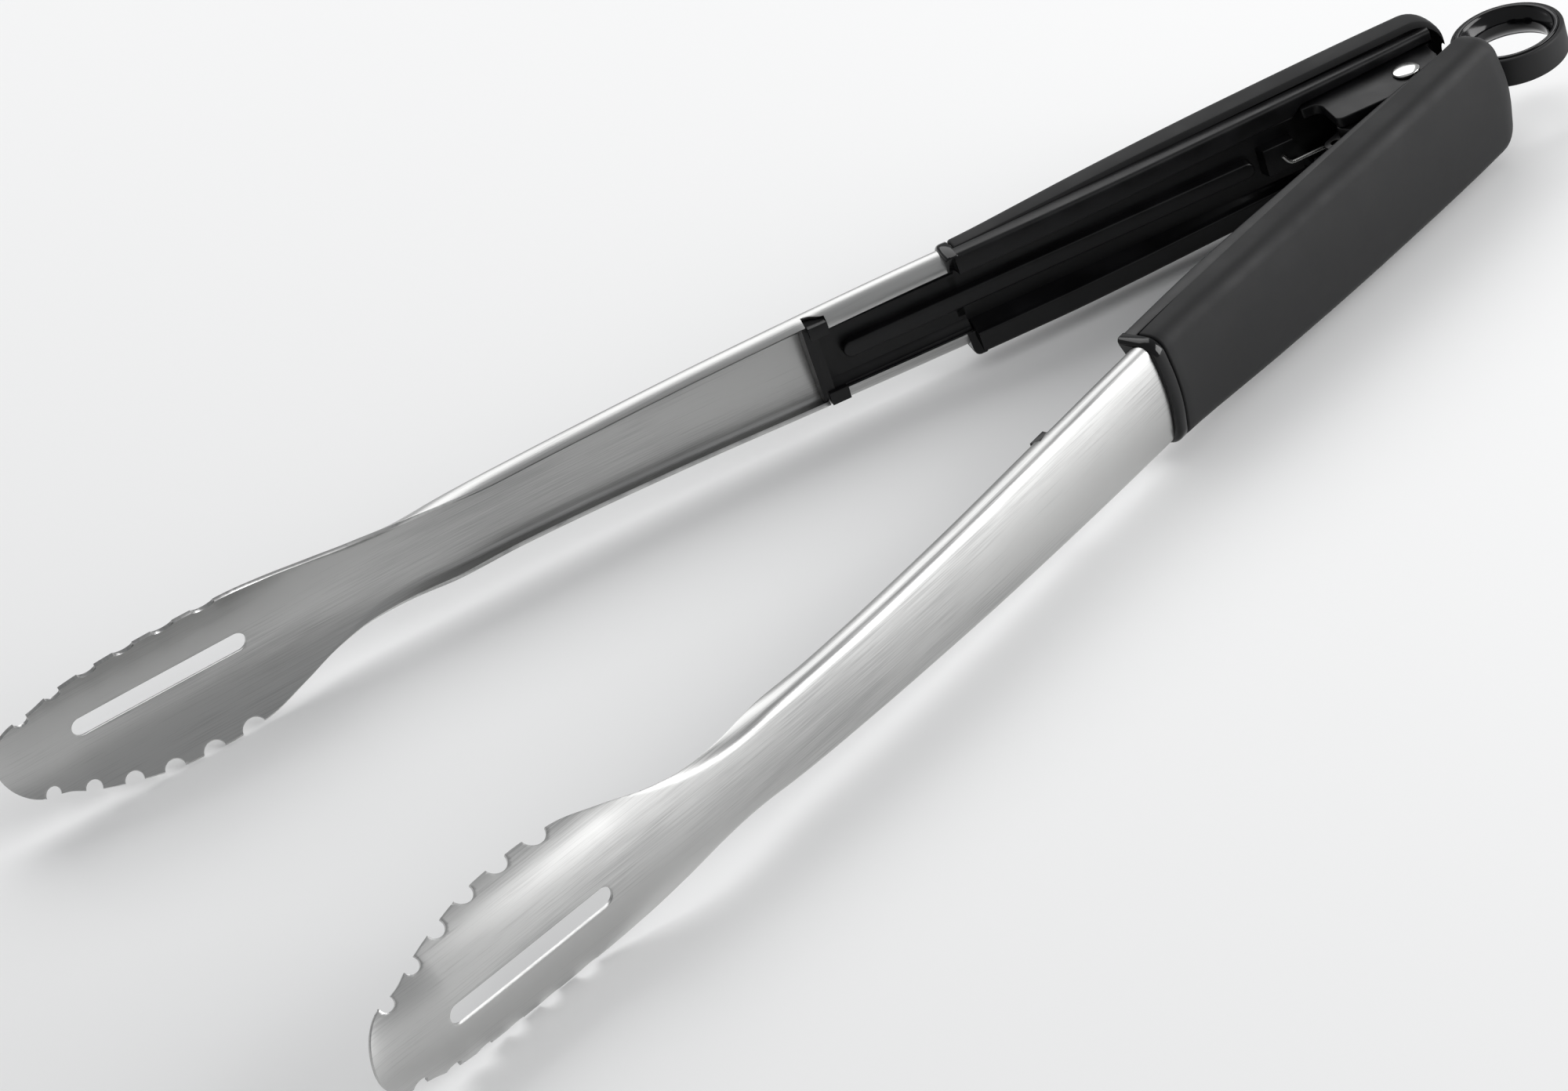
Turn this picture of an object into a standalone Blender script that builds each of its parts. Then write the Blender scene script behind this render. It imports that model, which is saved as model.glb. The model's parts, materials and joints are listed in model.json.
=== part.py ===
"""Spring-loaded kitchen tongs: two steel arms in nylon handles, a torsion spring and a pull-ring lock.

The hinge axis is vertical. The heads point to -X, the hanging ring to +X, and the tongs lie on one edge.
Each arm is drawn in its own frame: X runs from the hinge to the tip, Y points out of the jaw, Z across.
"""
import bisect
import math

import bmesh
import bpy
from mathutils import Matrix, Vector

MM = 0.001

# Opening and overall sizes, in millimetres and degrees.
HALF_OPENING = 15.5
ARM_LENGTH = 415.0
SHEET = 1.0
GAP = 0.3

# Steel arm: where the channel starts inside the handle, and its section there.
TAIL = 95.0
TAIL_LEAD = 4.0
CHANNEL_BACK_RADIUS = 48.0
CORNER_RADIUS = 3.0
CORNER_TURN = 75.0
FLANGE_RADIUS = 6.0
FLANGE_TURN = 55.0
LIP_LENGTH = 1.5
BOWL_RADIUS = 26.0

# Along the arm: (distance from the tip, value). The tip is the datum for the head's shape.
HALF_WIDTH_FROM_TIP = [(13, 13.2), (21, 16.1), (31, 18.4), (45, 20.2), (58, 20.5), (70, 19.8),
                       (82, 17.3), (94, 14.2), (106, 12.2), (121, 11.5), (150, 11.9), (280, 14.6), (430, 14.9)]
TIP_RADIUS = 13.0
CROWN_FROM_TIP = [(0, -12.6), (25, -8.3), (70, -1.8), (105, 3.0), (138, 6.8), (175, 9.9), (215, 11.8), (280, 12.8),
                  (430, 13.0)]
BOWL_START_FROM_TIP = 150.0
BOWL_FULL_FROM_TIP = 78.0

# Head cut-outs.
SLOT_WIDTH = 5.5
SLOT_FRONT_FROM_TIP = 24.5
SLOT_LENGTH = 45.0
NOTCH_COUNT = 6
NOTCH_FIRST_FROM_TIP = 10.9
NOTCH_PITCH = 10.0
NOTCH_PITCH_GROWTH = 0.4
NOTCH_WIDTH = 4.1
NOTCH_WIDTH_GROWTH = 0.54
NOTCH_DEPTH = 2.8

# Nylon core and soft cover.
GRIP_FRONT = 135.0
COLLAR_LENGTH = 3.7
GRIP_REAR = -16.5
CORE_REAR = -12.0
GRIP_CROWN = [(-20, 22.6), (0, 22.5), (45, 20.8), (90, 17.8), (135, 14.6)]
GRIP_HALF_WIDTH = [(-20, 17.6), (0, 17.5), (70, 17.0), (110, 16.2), (135, 15.6)]
PARTING = [(-20, 12.0), (0, 11.4), (65, 8.5), (135, 5.4)]
CORE_HALF_WIDTH = [(-12, 14.8), (20, 15.0), (60, 15.2), (112, 15.6), (135, 15.6)]
INNER_EDGE = [(-12, 8.6), (0, 7.6), (20, 6.0), (60, 3.4), (90, 1.6), (110, 0.9), (135, 0.8)]
SIDE_EDGE = 1.2
COLLAR_EDGE = 0.8
GRIP_CORNER = 5.0
GRIP_CROWN_SAG = 1.2
GRIP_END_ROUND = 9.0
GRIP_END_ROUND_DEPTH = 5.0
CORE_END_STEP = 4.0
CORE_LIP = 1.5
SEAT_LEAD = 2.0
CLIP_FOOT = 2.6
CLIP_INNER = 8.0
EDGE_CLEAR = 0.1

# Trough inside the handle, its rib, its tongue and the clips that hook into the steel.
TROUGH_HALF_WIDTH = 9.2
TROUGH_FLOOR = 7.5
TROUGH_DRAFT = 1.2
TONGUE_FRONT = 177.0
TONGUE_WALL = 4.0
RIB_HALF_WIDTH = 2.3
RIB_TOP = 4.6
RIB_START = 46.0
RIB_END = 168.0
CLIP_START = 170.0
CLIP_LENGTH = 6.0
CLIP_TOP = 5.6
CLIP_REACH = 12.4

# Hinge ears. Each arm has one inner ear and one outer ear, so two identical arms nest.
EAR_THICKNESS = 3.0
EAR_INNER_FACE = 4.6
EAR_GAP = 0.3
EAR_DEPTH = 8.3
EAR_NOSE = 24.4
EAR_REAR = 10.2
POCKET_FLOOR = 9.3
POCKET_FRONT = 32.0
POCKET_SIDE_GAP = 0.45

# Rivet, bush and spring.
RIVET_RADIUS = 2.0
RIVET_HOLE_GAP = 0.2
RIVET_HEAD_RADIUS = 3.8
RIVET_HEAD_HEIGHT = 1.3
BUSH_WALL = 0.8
BUSH_END_GAP = 0.3
WIRE_RADIUS = 0.6
COIL_PITCH = 1.26
COIL_TURNS = 3
COIL_GAP = 0.8
LEG_OFFSET = 3.0
LEG_REACH = 36.0
LEG_HOOK = 3.0
SEAT_LENGTH = 8.0
SEAT_HALF_WIDTH = 4.2

# Lock: a forked slide over the bush, its cross pin, and the ring outside.
LOCK_TRAVEL = 8.0
PRONG_THICKNESS = 1.2
PRONG_HALF_WIDTH = 4.7
PRONG_TIP_HALF_WIDTH = 3.0
PIN_RADIUS = 1.5
PIN_REACH = 27.4
BAR_START = 9.0
BAR_HALF_WIDTH = 3.0
RING_CENTRE = 34.5
RING_HOLE_RADIUS = 10.5
RING_MOUTH_RADIUS = 12.9
RING_CORE_RADIUS = 14.2
RING_HALF_HEIGHT = 4.5
BAND_RADIUS = 15.6
BAND_HALF_HEIGHT = 4.1

ROUND_STEPS = 32
MATERIALS = {
    "steel": ((0.62, 0.62, 0.61), 1.0, 0.28),
    "polished_steel": ((0.75, 0.75, 0.74), 1.0, 0.12),
    "nylon": ((0.012, 0.012, 0.013), 0.0, 0.35),
    "soft_grip": ((0.055, 0.055, 0.056), 0.0, 0.75),
}


def along(table, s):
    """Value at s on a smooth curve through the table's points."""
    keys = [key for key, _ in table]
    values = [value for _, value in table]
    if s <= keys[0]:
        return values[0]
    if s >= keys[-1]:
        return values[-1]
    i = bisect.bisect_right(keys, s) - 1
    slopes = [slope_at(keys, values, j) for j in (i, i + 1)]
    span = keys[i + 1] - keys[i]
    t = (s - keys[i]) / span
    rise = (1 - t) ** 2 * (1 + 2 * t) * values[i] + t * t * (3 - 2 * t) * values[i + 1]
    return rise + span * (t * (1 - t) ** 2 * slopes[0] - t * t * (1 - t) * slopes[1])


def slope_at(keys, values, i):
    """Slope that keeps the curve from overshooting its points."""
    if i in (0, len(keys) - 1):
        return 0.0
    left = (values[i] - values[i - 1]) / (keys[i] - keys[i - 1])
    right = (values[i + 1] - values[i]) / (keys[i + 1] - keys[i])
    return 0.0 if left * right <= 0 else 2 * left * right / (left + right)


def smooth(value, low, high):
    t = min(max((value - low) / (high - low), 0.0), 1.0)
    return t * t * (3 - 2 * t)


def material(name):
    made = bpy.data.materials.get(name)
    if made is None:
        colour, metallic, roughness = MATERIALS[name]
        made = bpy.data.materials.new(name)
        made.use_nodes = True
        shader = made.node_tree.nodes["Principled BSDF"]
        shader.inputs["Base Color"].default_value = (*colour, 1.0)
        shader.inputs["Metallic"].default_value = metallic
        shader.inputs["Roughness"].default_value = roughness
        made.diffuse_color = (*colour, 1.0)
    return made


def add_mesh(name, bm, surface="nylon"):
    bmesh.ops.recalc_face_normals(bm, faces=bm.faces)
    mesh = bpy.data.meshes.new(name)
    bm.to_mesh(mesh)
    bm.free()
    mesh.materials.append(material(surface))
    obj = bpy.data.objects.new(name, mesh)
    bpy.context.scene.collection.objects.link(obj)
    return obj


def loft(name, rings, surface="nylon"):
    """Closed solid through rings of equal length, with flat ends. Points are in millimetres."""
    bm = bmesh.new()
    rows = [[bm.verts.new(Vector(point) * MM) for point in ring] for ring in rings]
    for row, following in zip(rows, rows[1:]):
        for j, vert in enumerate(row):
            k = (j + 1) % len(row)
            bm.faces.new((vert, row[k], following[k], following[j]))
    bm.faces.new(rows[0])
    bm.faces.new(rows[-1])
    return add_mesh(name, bm, surface)


def plate(name, outline, low, high, surface="nylon"):
    """Outline in X and Y, extruded from one height to another."""
    return loft(name, [[(x, y, z) for x, y in outline] for z in (low, high)], surface)


def box(name, low, high):
    (x0, y0, z0), (x1, y1, z1) = low, high
    return plate(name, [(x0, y0), (x1, y0), (x1, y1), (x0, y1)], z0, z1)


def arc(centre, radius, start, end, steps):
    """Points from one angle to another, in degrees."""
    angles = [math.radians(start + (end - start) * i / steps) for i in range(steps + 1)]
    return [(centre[0] + radius * math.cos(a), centre[1] + radius * math.sin(a)) for a in angles]


def circle(centre, radius, steps=ROUND_STEPS):
    return arc(centre, radius, 0, 360, steps)[:-1]


def stadium(start, end, half_width, steps=12):
    """Slot along X with round ends."""
    return arc((start, 0), half_width, 90, 270, steps) + arc((end, 0), half_width, -90, 90, steps)


def boolean(target, tools, operation):
    """Combine the target with each tool, keep the result and drop the tools."""
    for tool in tools:
        tool.hide_render = True
        tool.display_type = "WIRE"
        step = target.modifiers.new(operation.lower(), "BOOLEAN")
        step.operation = operation
        step.object = tool
    bake(target)
    for tool in tools:
        bpy.data.objects.remove(tool)
    return target


def bake(obj):
    graph = bpy.context.evaluated_depsgraph_get()
    mesh = bpy.data.meshes.new_from_object(obj.evaluated_get(graph))
    obj.modifiers.clear()
    obj.data = mesh


def round_shading(obj, angle=32):
    obj.data.shade_smooth()
    obj.data.set_sharp_from_angle(angle=math.radians(angle))


# Steel arm ------------------------------------------------------------------------------------------

def half_width(s):
    """Half the arm's width at s, with a round tip."""
    from_tip = ARM_LENGTH - s
    if from_tip < TIP_RADIUS:
        return math.sqrt(max(TIP_RADIUS ** 2 - (TIP_RADIUS - from_tip) ** 2, 0.0))
    return along(HALF_WIDTH_FROM_TIP, from_tip)


def section_arcs(s):
    """Arcs of half the section, from the crown outwards: (length, radius)."""
    from_tip = ARM_LENGTH - s
    bowl = smooth(-from_tip, -BOWL_START_FROM_TIP, -BOWL_FULL_FROM_TIP)
    past_clip = smooth(s, CLIP_START, CLIP_START + CLIP_LENGTH)
    flange = (1 - bowl) * (1 - 0.35 * past_clip)
    curvature = (1 - bowl) / CHANNEL_BACK_RADIUS + bowl / BOWL_RADIUS
    corner = CORNER_RADIUS * math.radians(CORNER_TURN) * (1 - bowl)
    side = FLANGE_RADIUS * math.radians(FLANGE_TURN) * flange + LIP_LENGTH * flange
    tail = [(corner, CORNER_RADIUS), (side, FLANGE_RADIUS + 12 * bowl)]
    low, high = 0.0, 30.0
    for _ in range(40):
        back = (low + high) / 2
        reach = max(w for w, _, _ in walk([(back, 1 / curvature)] + tail, 0.0))
        low, high = (back, high) if reach < half_width(s) else (low, back)
    return [(back, 1 / curvature)] + tail


def walk(arcs, crown, steps=(7, 4, 4)):
    """Points (w, d, angle) from the crown along the arcs."""
    w, d, angle = 0.0, crown, 0.0
    points = [(w, d, angle)]
    for (length, radius), count in zip(arcs, steps):
        for _ in range(count):
            turned = angle + length / count / radius
            w += radius * (math.sin(turned) - math.sin(angle))
            d += radius * (math.cos(turned) - math.cos(angle))
            angle = turned
            points.append((w, d, angle))
    return points


def arm_curve(s, inset, past_lip=0.0):
    """Section of the arm from lip to lip, moved in from the outer surface by inset."""
    half = walk(section_arcs(s), along(CROWN_FROM_TIP, ARM_LENGTH - s))
    w, d, a = half[-1]
    half[-1] = (w + past_lip * math.cos(a), d - past_lip * math.sin(a), a)
    side = [(w - inset * math.sin(a), d - inset * math.cos(a)) for w, d, a in half]
    return [(-w, d) for w, d in reversed(side[1:])] + side


def arm_stations():
    start = [TAIL, GRIP_FRONT, CLIP_START - 1, CLIP_START + CLIP_LENGTH + 1]
    middle = [ARM_LENGTH - x for x in (215, 190, 165, 150, 138, 126, 116, 106, 97, 88, 79, 70, 60, 50, 40, 30, 21)]
    tip = [ARM_LENGTH - TIP_RADIUS * (1 - math.sin(math.radians(a))) for a in (0, 20, 38, 54, 68, 79, 86)]
    return start + middle + tip


def arm_band(name, stations, outer, inner, surface="nylon", past_lip=0.0):
    """Sheet that follows the arm between two insets."""
    rings = []
    for s in stations:
        ring = arm_curve(s, outer, past_lip) + arm_curve(s, inner, past_lip)[::-1]
        rings.append([(s, d, w) for w, d in ring])
    return loft(name, rings, surface)


def notch_centres():
    """Distance from the hinge and width of each notch in the head's rim."""
    from_tip = NOTCH_FIRST_FROM_TIP
    for i in range(NOTCH_COUNT):
        yield ARM_LENGTH - from_tip, NOTCH_WIDTH + i * NOTCH_WIDTH_GROWTH
        from_tip += NOTCH_PITCH + i * NOTCH_PITCH_GROWTH


def notch_cutter(s, width, side):
    """Round-bottomed cutter that stands square to the rim."""
    step = 0.5
    slope = (half_width(s + step) - half_width(s - step)) / (2 * step)
    tilt = math.atan(slope)
    radius = width / 2
    profile = arc((0, -NOTCH_DEPTH + radius), radius, 180, 360, 8) + [(radius, 8.0), (-radius, 8.0)]
    turned = [(x * math.cos(tilt) - y * math.sin(tilt), x * math.sin(tilt) + y * math.cos(tilt))
              for x, y in profile]
    rings = [[(s + x, d, side * (half_width(s) + y)) for x, y in turned] for d in (-30.0, 10.0)]
    return loft("notch_cutter", rings)


def slot_cutter():
    front = ARM_LENGTH - SLOT_FRONT_FROM_TIP
    outline = stadium(front - SLOT_LENGTH, front, SLOT_WIDTH / 2)
    return loft("slot_cutter", [[(x, d, w) for x, w in outline] for d in (-20.0, 10.0)])


def clip_window_cutters():
    """Openings in both lips for the clips."""
    return [box("clip_window", (CLIP_START, -5, side * 17 if side < 0 else 8),
                (CLIP_START + CLIP_LENGTH, CLIP_TOP, -8 if side < 0 else 17)) for side in (-1, 1)]


def make_arm():
    arm = arm_band("arm", arm_stations(), 0, SHEET, "steel")
    cutters = [notch_cutter(s, width, side) for s, width in notch_centres() for side in (-1, 1)]
    return boolean(arm, cutters + [slot_cutter()] + clip_window_cutters(), "DIFFERENCE")


# Handle ---------------------------------------------------------------------------------------------

def grip_ring(s, bottom, width_inset=0.0, depth_inset=0.0):
    """Outline of the handle's outside: flat sides, round corners and a slightly crowned back."""
    side = along(GRIP_HALF_WIDTH, s) - width_inset
    top = along(GRIP_CROWN, s) - depth_inset
    radius = min(GRIP_CORNER, side - 1, top - bottom - GRIP_CROWN_SAG - 0.5)
    corner = arc((side - radius, top - GRIP_CROWN_SAG - radius), radius, 0, 80, 5)
    crown = [((side - radius) * k / 3, top - GRIP_CROWN_SAG * (k / 3) ** 2) for k in (2, 1)]
    half = [(side, bottom)] + corner + crown
    return half + [(0.0, top)] + [(-w, d) for w, d in reversed(half)]


def grip_stations():
    rear = [(GRIP_REAR + GRIP_END_ROUND * (1 - math.sin(math.radians(a))), 1 - math.cos(math.radians(a)))
            for a in (82, 65, 48, 32, 16, 0)]
    front = [(s, 0.0) for s in (20, 45, 68, 90, 112, GRIP_FRONT - COLLAR_LENGTH - GAP)]
    return rear + front


def core_outline(s, outset):
    """Closed section that the cover sits on: the steel's outer surface, carried on behind its tail."""
    outline = arm_curve(max(s, TAIL), -outset)
    if s >= TAIL:
        return outline
    floor = along(INNER_EDGE, s) + CORE_LIP
    return [(w, max(d, floor)) for w, d in outline]


def make_cover():
    rings = []
    for s, shrink in grip_stations():
        ring = grip_ring(s, along(PARTING, s), GRIP_END_ROUND * shrink, GRIP_END_ROUND_DEPTH * shrink)
        rings.append([(s, d, w) for w, d in ring])
    cover = loft("cover", rings, "soft_grip")
    inside = [[(s, d, w) for w, d in core_outline(s, GAP)]
              for s in (CORE_REAR + CORE_END_STEP - GAP, 30, TAIL - TAIL_LEAD, TAIL, GRIP_FRONT + 5)]
    return boolean(cover, [loft("cover_inside", inside)], "DIFFERENCE")


def side_block():
    """Hard lower half of the handle, below the cover's edge."""
    rings = []
    for s in (CORE_REAR, -9, -4, 4, 20, 45, 68, 90, 112, GRIP_FRONT - COLLAR_LENGTH / 2):
        side = along(CORE_HALF_WIDTH, s)
        low, high, edge = along(INNER_EDGE, s), along(PARTING, s) - GAP, SIDE_EDGE
        half = [(side, high), (side, low + edge), (side - edge, low)]
        rings.append([(s, d, w) for w, d in half + [(-w, d) for w, d in reversed(half)]])
    return loft("side_block", rings)


def collar():
    """Rim at the front of the handle, closed round the steel."""
    rings = []
    for s, shrink in ((GRIP_FRONT - COLLAR_LENGTH, 0), (GRIP_FRONT - 1.2, 0), (GRIP_FRONT, COLLAR_EDGE)):
        ring = grip_ring(s, along(INNER_EDGE, s) + shrink, shrink, shrink)
        rings.append([(s, d, w) for w, d in ring])
    return loft("collar", rings)


def filler():
    """What fills the steel channel inside the handle and forms the tongue in front of it."""
    stations = (CORE_REAR + CORE_END_STEP, 30, TAIL - TAIL_LEAD, TAIL, GRIP_FRONT, CLIP_START, TONGUE_FRONT)
    return loft("filler", [[(s, d, w) for w, d in core_outline(s, 0)] for s in stations])


def trough_cutter():
    top = TROUGH_FLOOR
    ring = [(TROUGH_HALF_WIDTH, -6), (TROUGH_HALF_WIDTH, 2), (TROUGH_HALF_WIDTH - TROUGH_DRAFT, top - 1),
            (TROUGH_HALF_WIDTH - TROUGH_DRAFT - 1, top)]
    outline = ring + [(-w, d) for w, d in reversed(ring)]
    ends = (POCKET_FRONT - 1, TONGUE_FRONT - TONGUE_WALL)
    return loft("trough_cutter", [[(s, d, w) for w, d in outline] for s in ends])


def ear_layers():
    """Heights of this arm's two ears: an inner one above, an outer one below."""
    outer = EAR_INNER_FACE + EAR_THICKNESS + EAR_GAP
    return [(EAR_INNER_FACE, EAR_INNER_FACE + EAR_THICKNESS), (-outer - EAR_THICKNESS, -outer)]


def pocket_cutter():
    """Room for both arms' ears, open towards the hinge and at the rear."""
    reach = -ear_layers()[1][0] + POCKET_SIDE_GAP
    return box("pocket_cutter", (GRIP_REAR - 5, -12, -reach), (POCKET_FRONT, POCKET_FLOOR, reach))


def ear_outline():
    nose = EAR_NOSE
    front = [(nose + 5, POCKET_FLOOR + 1), (nose + 5, 4.5), (nose + 2.4, 4.3), (nose + 0.3, 2.7),
             (nose, -EAR_DEPTH + 1.7), (nose - 0.6, -EAR_DEPTH + 0.6), (nose - 2, -EAR_DEPTH)]
    rear = arc((0, 0), EAR_DEPTH, -90, -152, 6)
    return front + rear + [(-EAR_REAR, 2.5), (-EAR_REAR, POCKET_FLOOR + 1)]


def make_core():
    core = boolean(filler(), [side_block(), collar()], "UNION")
    stations = [TAIL - GAP, GRIP_FRONT, CLIP_START, TONGUE_FRONT + 10]
    channel = arm_band("channel", stations, -GAP, SHEET + GAP, past_lip=2 * GAP)
    core = boolean(core, [channel, trough_cutter(), pocket_cutter()], "DIFFERENCE")
    rib = box("rib", (RIB_START, RIB_TOP, -RIB_HALF_WIDTH), (RIB_END, TROUGH_FLOOR + 1, RIB_HALF_WIDTH))
    seat_top = LEG_OFFSET + WIRE_RADIUS + GAP
    seat = box("spring_seat", (LEG_REACH - SEAT_LEAD, seat_top, -SEAT_HALF_WIDTH),
               (LEG_REACH + SEAT_LENGTH - SEAT_LEAD, TROUGH_FLOOR + 1, SEAT_HALF_WIDTH))
    window = CLIP_TOP - GAP
    clips = [box("clip", (CLIP_START + GAP, CLIP_FOOT, min(side * CLIP_INNER, side * CLIP_REACH)),
                 (CLIP_START + CLIP_LENGTH - GAP, window, max(side * CLIP_INNER, side * CLIP_REACH))) for side in (-1, 1)]
    ears = [plate("ear", ear_outline(), low, high) for low, high in ear_layers()]
    core = boolean(core, [rib, seat] + ears, "UNION")
    core = boolean(core, clips, "UNION")
    reach = 20.0
    hole = plate("rivet_hole", circle((0, 0), RIVET_RADIUS + RIVET_HOLE_GAP), -reach, reach)
    return boolean(core, [hole], "DIFFERENCE")


# Hinge and spring -----------------------------------------------------------------------------------

def turned(name, profile, surface, steps=ROUND_STEPS):
    """Solid turned about Z from (radius, height) points, from the axis and back to it."""
    bm = bmesh.new()
    path = [bm.verts.new((r * MM, 0, z * MM)) for r, z in profile]
    edges = [bm.edges.new(pair) for pair in zip(path, path[1:])]
    bmesh.ops.spin(bm, geom=path + edges, axis=(0, 0, 1), cent=(0, 0, 0), steps=steps, angle=math.tau)
    bmesh.ops.remove_doubles(bm, verts=bm.verts, dist=1e-7)
    return add_mesh(name, bm, surface)


def make_rivet():
    top = -ear_layers()[1][0]
    seat = top + GAP
    rim = 0.5
    dome = [(RIVET_HEAD_RADIUS * math.cos(math.radians(a)),
             seat + rim + (RIVET_HEAD_HEIGHT - rim) * math.sin(math.radians(a))) for a in (0, 25, 50, 72)]
    head = [(RIVET_RADIUS, seat), (RIVET_HEAD_RADIUS, seat)] + dome + [(0, seat + RIVET_HEAD_HEIGHT)]
    tail = [(r, -z) for r, z in reversed(head)]
    return turned("pivot_rivet", tail + head, "polished_steel")


def make_bush():
    inner = RIVET_RADIUS + RIVET_HOLE_GAP
    outer = inner + BUSH_WALL
    end = EAR_INNER_FACE - BUSH_END_GAP
    ring = [(inner, -end), (outer, -end), (outer, end), (inner, end), (inner, -end)]
    return turned("pivot_bush", ring, "steel")


def spring_path():
    """Leg of the near arm, coil, leg of the far arm. Each leg bears on its arm's seat."""
    radius = RIVET_RADIUS + RIVET_HOLE_GAP + BUSH_WALL + COIL_GAP + WIRE_RADIUS
    half_height = COIL_PITCH * COIL_TURNS / 2
    opening = math.radians(HALF_OPENING)
    lean = math.asin((radius - LEG_OFFSET) / LEG_REACH)

    def on_arm(s, d, z, side):
        u = (-math.cos(opening), side * math.sin(opening))
        n = (math.sin(opening), side * math.cos(opening))
        return Vector((s * u[0] + d * n[0], s * u[1] + d * n[1], z))

    def leg(side, z):
        hook = [on_arm(LEG_REACH + 2.5, LEG_OFFSET, z + side * LEG_HOOK, side),
                on_arm(LEG_REACH + 1.8, LEG_OFFSET, z + side * LEG_HOOK * 0.35, side),
                on_arm(LEG_REACH + 0.8, LEG_OFFSET, z, side)]
        tangent = on_arm(radius * math.sin(lean), radius * math.cos(lean), z, side)
        return hook + [on_arm(LEG_REACH - 1, LEG_OFFSET + 0.05, z, side), tangent]

    near, far = leg(-1, half_height), leg(1, -half_height)
    start = math.atan2(near[-1].y, near[-1].x)
    end = math.atan2(far[-1].y, far[-1].x)
    sweep = -((start - end) % math.tau) - math.tau * (COIL_TURNS - 1)
    count = 16 * COIL_TURNS
    coil = []
    for i in range(1, count):
        angle = start + sweep * i / count
        height = half_height - 2 * half_height * i / count
        coil.append(Vector((radius * math.cos(angle), radius * math.sin(angle), height)))
    return near + coil + far[::-1]


def make_spring():
    curve = bpy.data.curves.new("torsion_spring", "CURVE")
    curve.dimensions = "3D"
    curve.bevel_depth = WIRE_RADIUS * MM
    curve.bevel_resolution = 2
    curve.use_fill_caps = True
    points = spring_path()
    spline = curve.splines.new("POLY")
    spline.points.add(len(points) - 1)
    for point, place in zip(spline.points, points):
        point.co = (*(place * MM), 1.0)
    obj = bpy.data.objects.new("torsion_spring", curve)
    bpy.context.scene.collection.objects.link(obj)
    curve.materials.append(material("polished_steel"))
    return obj


# Lock -----------------------------------------------------------------------------------------------

def prong_outline():
    tip = -PIN_REACH
    side, end = PRONG_HALF_WIDTH, PRONG_TIP_HALF_WIDTH
    nose = arc((tip, 0), end, 110, 250, 8)
    return nose + [(tip + 9, -side), (BAR_START + 4, -side), (BAR_START + 4, side), (tip + 9, side)]


def make_slide():
    """Two prongs over the bush, joined behind the spring and carried out to the ring."""
    outer = EAR_INNER_FACE - GAP
    inner = outer - PRONG_THICKNESS
    prongs = [plate("prong", prong_outline(), low, high) for low, high in ((inner, outer), (-outer, -inner))]
    bar = box("bar", (BAR_START, -BAR_HALF_WIDTH, -outer + EDGE_CLEAR),
              (RING_CENTRE - RING_CORE_RADIUS + 2, BAR_HALF_WIDTH, outer - EDGE_CLEAR))
    profile = [(RING_HOLE_RADIUS, -1.2), (RING_MOUTH_RADIUS, -RING_HALF_HEIGHT), (RING_CORE_RADIUS, -RING_HALF_HEIGHT),
               (RING_CORE_RADIUS, RING_HALF_HEIGHT), (RING_MOUTH_RADIUS, RING_HALF_HEIGHT), (RING_HOLE_RADIUS, 1.2),
               (RING_HOLE_RADIUS, -1.2)]
    ring = turned("ring", profile, "nylon", 48)
    ring.location.x = RING_CENTRE * MM
    bpy.context.view_layer.update()
    slide = boolean(bar, prongs + [ring], "UNION")
    bush = RIVET_RADIUS + RIVET_HOLE_GAP + BUSH_WALL + GAP
    slot = plate("bush_slot", stadium(-LOCK_TRAVEL - 0.2, 0.2, bush), -10, 10)
    pin_hole = plate("pin_hole", circle((-PIN_REACH, 0), PIN_RADIUS + GAP), -10, 10)
    slide = boolean(slide, [slot, pin_hole], "DIFFERENCE")
    slide.name = "lock_slide"
    return slide


def make_pin():
    end = EAR_INNER_FACE - GAP
    pin = turned("lock_pin", [(0, -end), (PIN_RADIUS, -end), (PIN_RADIUS, end), (0, end)], "polished_steel", 24)
    pin.location.x = -PIN_REACH * MM
    return pin


def make_band():
    """Soft band round the ring, open where the bar runs into it."""
    inner = RING_CORE_RADIUS + GAP
    height, edge = BAND_HALF_HEIGHT, 0.6
    profile = [(inner, -height), (BAND_RADIUS - edge, -height), (BAND_RADIUS, -height + edge),
               (BAND_RADIUS, height - edge), (BAND_RADIUS - edge, height), (inner, height), (inner, -height)]
    band = turned("ring_band", profile, "soft_grip", 48)
    reach = BAR_HALF_WIDTH + GAP
    return boolean(band, [box("band_gap", (-BAND_RADIUS - 2, -reach, -10), (0, reach, 10))], "DIFFERENCE")


# Assembly -------------------------------------------------------------------------------------------

def empty(name, parent=None):
    obj = bpy.data.objects.new(name, None)
    bpy.context.scene.collection.objects.link(obj)
    obj.parent = parent
    return obj


def build():
    hinge = empty("hinge")
    arm, core, cover = make_arm(), make_core(), make_cover()
    for obj in (arm, core, cover):
        round_shading(obj)
    turn = Matrix.Rotation(math.pi + math.radians(HALF_OPENING), 4, "Z")
    for side, flip in (("near", 0.0), ("far", math.pi)):
        frame = empty(side + "_arm_frame", hinge)
        frame.matrix_local = Matrix.Rotation(flip, 4, "X") @ turn
        for obj, piece in ((arm, "arm"), (core, "handle_core"), (cover, "grip_cover")):
            copy = obj
            if side == "far":
                copy = bpy.data.objects.new(piece, obj.data)
                bpy.context.scene.collection.objects.link(copy)
            copy.name = side + "_" + piece
            copy.parent = frame
    for obj in (make_rivet(), make_bush()):
        round_shading(obj)
        obj.parent = hinge
    make_spring().parent = hinge
    lock = empty("lock_frame", hinge)
    for obj in (make_slide(), make_pin(), make_band()):
        round_shading(obj)
        obj.parent = lock
    bpy.data.objects["ring_band"].location.x = RING_CENTRE * MM
    stand_on_floor(hinge)


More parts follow.
